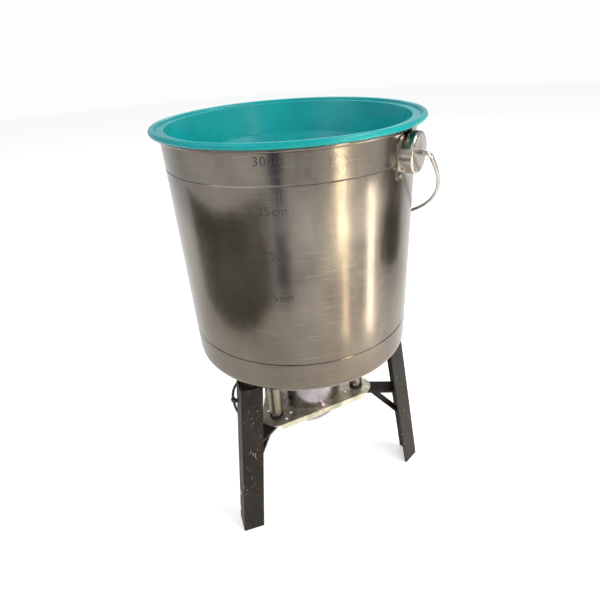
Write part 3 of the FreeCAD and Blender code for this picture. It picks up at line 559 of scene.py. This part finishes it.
BACKDROP_RADIUS = 5.8
BACKDROP_HEIGHT = 12
FLOOR_SIZE = 12


def add_floor():
    bpy.ops.mesh.primitive_plane_add(size=FLOOR_SIZE)
    floor = bpy.context.object
    floor.name = "floor"
    floor.data.materials.append(floor_surface())


def add_card(name, turn, distance, width, tall, tone):
    """A standing card that shows only in reflections, and shades the steel."""
    bpy.ops.mesh.primitive_plane_add(size=1)
    card = bpy.context.object
    card.name = name
    card.scale = (width, tall, 1)
    card.rotation_euler = (math.pi / 2, 0, math.radians(turn + 90))
    angle = math.radians(turn)
    card.location = (distance * math.cos(angle), distance * math.sin(angle), tall / 2 + 0.002)
    card.data.materials.append(Surface(name, tone, 0.0, 0.8).material)
    card.visible_camera = False


def add_light(name, place, target, size, power, colour=(1, 1, 1)):
    data = bpy.data.lights.new(name, "AREA")
    data.shape = "RECTANGLE"
    data.size, data.size_y = size
    data.energy = power
    data.color = colour
    light = bpy.data.objects.new(name, data)
    bpy.context.scene.collection.objects.link(light)
    light.location = place
    light.rotation_euler = (Vector(target) - Vector(place)).to_track_quat("-Z", "Y").to_euler()


def add_backdrop():
    """A plain white wall all around, far off, which lights nothing."""
    bpy.ops.mesh.primitive_cylinder_add(vertices=96, radius=BACKDROP_RADIUS, depth=BACKDROP_HEIGHT,
                                        end_fill_type="NOTHING")
    wall = bpy.context.object
    wall.name = "backdrop"
    glow = Surface("backdrop", (0, 0, 0), 0.0, 1.0, emission_strength=0.97)
    glow.shader.inputs["Emission Color"].default_value = (1, 1, 1, 1)
    wall.data.materials.append(glow.material)
    wall.visible_diffuse = False
    wall.visible_glossy = False
    wall.visible_shadow = False


def add_studio():
    add_floor()
    add_backdrop()
    world = bpy.data.worlds.new("studio")
    world.use_nodes = True
    world.node_tree.nodes["Background"].inputs["Color"].default_value = (0.96, 0.97, 1.0, 1)
    world.node_tree.nodes["Background"].inputs["Strength"].default_value = 0.6
    bpy.context.scene.world = world
    middle = (0, 0, 0.35)
    add_light("key", (1.5, -0.7, 2.1), middle, (1.0, 1.0), 34, (1.0, 0.96, 0.9))
    add_light("fill", (-1.5, -1.0, 1.8), middle, (1.6, 1.6), 14, (0.93, 0.96, 1.0))
    add_light("back", (0.3, 2.0, 2.0), middle, (1.6, 1.0), 14)
    add_light("strip", polar(1150, -50, 420), middle, (0.018, 0.9), 3.6, (1.0, 0.82, 0.55))
    add_light("low_strip", polar(620, -50, 140), (0, 0, 0.3), (0.010, 0.26), 0.22, (1.0, 0.82, 0.55))
    add_light("wedge", polar(640, -24, 170), (0, 0, 0.32), (0.06, 0.34), 0.8, (1.0, 0.92, 0.78))
    add_card("blue_card", -102, 0.78, 0.15, 0.5, (0.008, 0.022, 0.10))
    add_card("left_card", -150, 0.64, 1.0, 0.31, (0.19, 0.192, 0.168))
    add_card("right_card", 6, 0.92, 0.5, 0.5, (0.15, 0.14, 0.13))


CAMERA_PLACE = Vector((0.0, -622.6, 649.3)) * MM
CAMERA_PITCH = 0.5041
CAMERA_ROLL = -0.06865
SENSOR = 36.0
LENS = 29.22


def add_camera():
    """The camera, looking along +Y and down, with a slight roll."""
    data = bpy.data.cameras.new("camera")
    data.sensor_width = SENSOR
    data.lens = LENS
    forward = Vector((0, math.cos(CAMERA_PITCH), -math.sin(CAMERA_PITCH)))
    level = Vector((1, 0, 0))
    upright = level.cross(forward)
    right = math.cos(CAMERA_ROLL) * level + math.sin(CAMERA_ROLL) * upright
    top = -math.sin(CAMERA_ROLL) * level + math.cos(CAMERA_ROLL) * upright
    camera = bpy.data.objects.new("camera", data)
    columns = Matrix((right, top, -forward)).transposed().to_4x4()
    camera.matrix_world = Matrix.Translation(CAMERA_PLACE) @ columns
    bpy.context.scene.collection.objects.link(camera)
    bpy.context.scene.camera = camera


add_camera()
add_lead()
dress_cad()
add_scale()
add_welds()
add_studio()
bpy.context.scene.view_settings.view_transform = "Standard"
